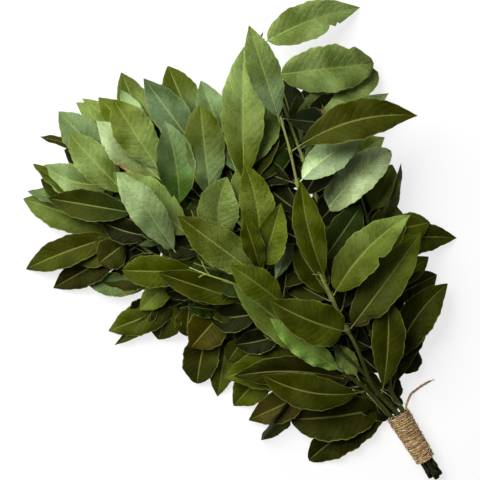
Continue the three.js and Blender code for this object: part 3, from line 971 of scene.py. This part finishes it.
def lay_twine(mesh, route, steps, radius, frayed=False):
    """Two plies twisted together along the route, which gives a point for 0 to 1. A frayed
    end tapers off."""
    points = [route(step / steps) for step in range(steps + 1)]
    length = 0.0
    rings = []
    for step, point in enumerate(points):
        if step:
            length += (point - points[step - 1]).length
        way = (points[min(step + 1, steps)] - points[max(step - 1, 0)]).normalized()
        level = way.cross(UP).normalized()
        rings.append((point, level, level.cross(way), length / PLY_TWIST * math.tau))

    def place(along, round_):
        point, level, normal, twist = rings[round(along * steps)]
        turn = math.tau * round_
        ply = 0.72 + 0.28 * abs(math.cos(turn - twist / 2))
        end = min(1, 0.3 + (1 - along) * 12) if frayed else 1
        ring = level * math.cos(turn) + normal * math.sin(turn)
        return point + ring * (radius * ply * end)

    wrap_grid(mesh, steps, 12, place)
    return points


def wound(turns, sunk, from_x, to_x, first_turn, wander):
    """A winding that runs from one end of the wrap to the other, so deep in it."""
    chance = random.Random(turns)
    drift = [chance.uniform(-wander, wander) for _ in range(turns * 2 + 2)]

    def route(along):
        turned = along * turns
        slot_ = int(turned * 2)
        share = turned * 2 - slot_
        share = share * share * (3 - 2 * share)
        shift = drift[slot_] * (1 - share) + drift[min(slot_ + 1, len(drift) - 1)] * share
        x = from_x + (to_x - from_x) * along + shift
        x = min(max(x, WRAP_CUT_END + TWINE_RADIUS), WRAP_LEAF_END - TWINE_RADIUS)
        turn = math.tau * (first_turn + turned)
        reach = wrap_radius(x) - TWINE_RADIUS - sunk
        return Vector((x, -reach * math.cos(turn), wrap_radius(x) + reach * math.sin(turn)))

    return route


jute = jute_material("jute_twine", rgb(118, 82, 34), rgb(170, 128, 70))
binding = new_skin()
leaf_end, cut_end = WRAP_LEAF_END - TWINE_RADIUS, WRAP_CUT_END + TWINE_RADIUS
close_layer = wound(CLOSE_TURNS, 0.5, leaf_end, cut_end, first_turn=0.2, wander=0.25)
back_layer = wound(BACK_TURNS, 0.0, cut_end, leaf_end, first_turn=0.2, wander=2.4)
lay_twine(binding, close_layer, 2600, TWINE_RADIUS)
lay_twine(binding, back_layer, 1200, TWINE_RADIUS)
close_ends(binding, 0)
finish_piece(binding, "wound_twine", [jute], ["twine_binding"])

# --- The loose end of the twine ---------------------------------------------------------------
# It comes out from under the last turn at the leaf end, drops to the surface and lies along
# it, and was cut off short, so that its tip has begun to untwist.

TAIL_ROUTE = [
    (25.6, -9.1, 16.7), (27.0, -9.6, 16.6), (28.3, -10.7, 16.0), (29.4, -12.2, 14.8),
    (30.3, -13.9, 12.9), (31.0, -15.6, 10.5), (31.6, -17.3, 7.9), (32.2, -19.2, 5.4),
    (32.9, -21.5, 3.4), (32.8, -24.2, 2.0), (33.0, -27.3, 1.3), (33.2, -30.5, 1.1),
    (33.3, -33.7, 1.1), (33.3, -36.9, 1.1), (33.1, -40.0, 1.1), (32.7, -43.0, 1.1),
]
TAIL_RADIUS = 1.15  # slackly twisted, so a little thicker than the wound twine
tail_line = [Vector(point) for point in TAIL_ROUTE]
tail = new_skin()
tail_points = lay_twine(
    tail, lambda along: on_route(tail_line, along), 120, TAIL_RADIUS, frayed=True
)
close_ends(tail, 0)
tail_piece = finish_piece(tail, "twine_loose_end", [jute], ["twine_tail"])
tail_length = sum((b - a).length for a, b in zip(tail_points, tail_points[1:]))
[at(*point) for point in tail_points[::4]]

# --- Stray fibres -----------------------------------------------------------------------------
# Jute sheds hairs. Short ones stand off the wound twine, a few long ones trail over the
# stems, and a tuft of them ends the loose twine.

STRAY_STRANDS = [(4, 0.25), (7, 0.2), (9, 0.2)]  # turns and radius
WRAP_HAIRS, WRAP_HAIR_RADIUS = 420, 0.13
TAIL_HAIRS, TAIL_HAIR_RADIUS = 90, 0.1
TUFT_HAIRS, TUFT_HAIR_RADIUS = 14, 0.12
LONG_HAIR_RADIUS = 0.3
LONG_HAIRS = [
    [(60, 14, 33), (48, 12, 30), (36, 10, 26), (27, 8, 22)],
    [(56, 2, 36), (47, -2, 32), (38, -3, 27), (30, -8, 20), (24, -6, 19)],
    [(24, 9, 19), (27, 6, 21.5), (26, 1, 23.5), (25, -4, 23)],
    [(1, 3, 21), (-5, 4.5, 20.4), (-12, 4, 19.6), (-19, 2, 19)],
]


def grow_hair(mesh, line, thickness):
    """A fibre through the points of the line, thinner towards its end."""
    points = [Vector(point) for point in line]

    def place(along, round_):
        way = heading(points, along)
        level = way.cross(Vector((0.3, 0.2, 1))).normalized()
        turn = math.tau * round_
        ring = level * math.cos(turn) + level.cross(way) * math.sin(turn)
        return on_route(points, along) + ring * thickness * (1 - 0.8 * along)

    wrap_grid(mesh, 3 * (len(line) - 1), 3, place)


pale_jute = jute_material("pale_jute", rgb(186, 160, 112), rgb(236, 220, 186))
hairs = new_skin()
chance = random.Random(41)
for _ in range(WRAP_HAIRS):
    x = chance.uniform(WRAP_CUT_END, WRAP_LEAF_END)
    turn = chance.uniform(-0.15, 1.15) * math.pi
    radius = wrap_radius(x)
    outwards = Vector((0, math.cos(turn), math.sin(turn)))
    sideways = Vector((chance.uniform(-1, 1), 0, 0)) + outwards.cross(Vector((1, 0, 0)))
    root = Vector((x, 0, radius)) + outwards * (radius - 0.5)
    length = chance.uniform(1.2, 5.5)
    bend = root + (outwards * 0.35 + sideways * chance.choice((-0.8, 0.8))) * length * 0.5
    tip = bend + (outwards * chance.uniform(-0.1, 0.6) + sideways * 0.2) * length * 0.5
    grow_hair(hairs, [root, bend, tip], WRAP_HAIR_RADIUS)
for turns, thickness in STRAY_STRANDS:
    strand = wound(turns, 0.1 + thickness - TWINE_RADIUS, cut_end, leaf_end, turns / 7, 8)
    lay_twine(hairs, strand, 50 * turns, thickness)
for line in LONG_HAIRS:
    grow_hair(hairs, line, LONG_HAIR_RADIUS)
end = Vector(TAIL_ROUTE[-1])
for _ in range(TUFT_HAIRS):
    spread = Vector((
        chance.uniform(-1.4, 1.0),
        -chance.uniform(1.5, 4.0),
        chance.uniform(-0.4, 1.2),
    ))
    root = end + Vector((chance.uniform(-0.3, 0.3), 1.0, 0))
    grow_hair(hairs, [root, end + spread * 0.5, end + spread], TUFT_HAIR_RADIUS)
for _ in range(TAIL_HAIRS):
    along = chance.uniform(0.1, 1)
    root = on_route(tail_line, along)
    spread = Vector([chance.uniform(-1, 1) for _ in range(3)]).normalized()
    tip = root + spread * chance.uniform(1.2, 2.4) + heading(tail_line, along)
    tip.z = max(tip.z, 0.2)
    grow_hair(hairs, [root, (root + tip) / 2, tip], TAIL_HAIR_RADIUS)
close_ends(hairs, 0)
finish_piece(hairs, "jute_hairs", [pale_jute])

# --- The surface and the light ----------------------------------------------------------------
# A plain pale table, one big soft lamp beyond the leaf tips and plain light all round.

FLOOR_SIZE = 12
floor_mesh = bmesh.new()
bmesh.ops.create_grid(floor_mesh, x_segments=1, y_segments=1, size=FLOOR_SIZE / 2)
for vert in floor_mesh.verts:
    vert.co.z = cad_box[0].z
floor_data = bpy.data.meshes.new("floor")
floor_mesh.to_mesh(floor_data)
floor_mesh.free()
floor = bpy.data.objects.new("floor", floor_data)
bpy.context.collection.objects.link(floor)


def backdrop_rays(tree):
    """1 for the rays that show the background: straight from the camera or off a gloss."""
    rays = add_node(tree, "ShaderNodeLightPath").outputs
    seen = sum_of(tree, "MAXIMUM", rays["Is Camera Ray"], rays["Is Glossy Ray"])
    return sum_of(tree, "MAXIMUM", seen, rays["Is Transmission Ray"])


floor_material, tree, floor_surface = new_material("pale_floor")
floor_surface.inputs["Base Color"].default_value = rgb(246, 246, 246)
floor_surface.inputs["Roughness"].default_value = 0.9
white = add_node(tree, "ShaderNodeEmission", {"Color": (1, 1, 1, 1), "Strength": 1.0})
share = sum_of(tree, "MULTIPLY", backdrop_rays(tree), 0.75)
mixed = add_node(
    tree, "ShaderNodeMixShader",
    {0: share, 1: floor_surface.outputs[0], 2: white.outputs[0]},
)
tree.links.new(mixed.outputs[0], tree.nodes["Material Output"].inputs["Surface"])
floor_data.materials.append(floor_material)

world = bpy.data.worlds.new("studio")
world.use_nodes = True
bpy.context.scene.world = world
sky = world.node_tree.nodes["Background"]
seen = add_node(world.node_tree, "ShaderNodeLightPath").outputs["Is Camera Ray"]
strength = sum_of(world.node_tree, "MULTIPLY_ADD", seen, 0.85, 0.15)
world.node_tree.links.new(strength, sky.inputs["Strength"])
sky.inputs["Color"].default_value = (1, 1, 1, 1)

lamp_data = bpy.data.lights.new("soft_lamp", "AREA")
lamp_data.shape = "SQUARE"
lamp_data.size = 1.1
lamp_data.energy = 42
lamp = bpy.data.objects.new("soft_lamp", lamp_data)
lamp.location = at(1215, 335, 1150)
lamp.rotation_euler = (at(200, 30, 0) - lamp.location).to_track_quat("-Z", "Y").to_euler()
bpy.context.collection.objects.link(lamp)

scene = bpy.context.scene
scene.view_settings.view_transform = "Standard"
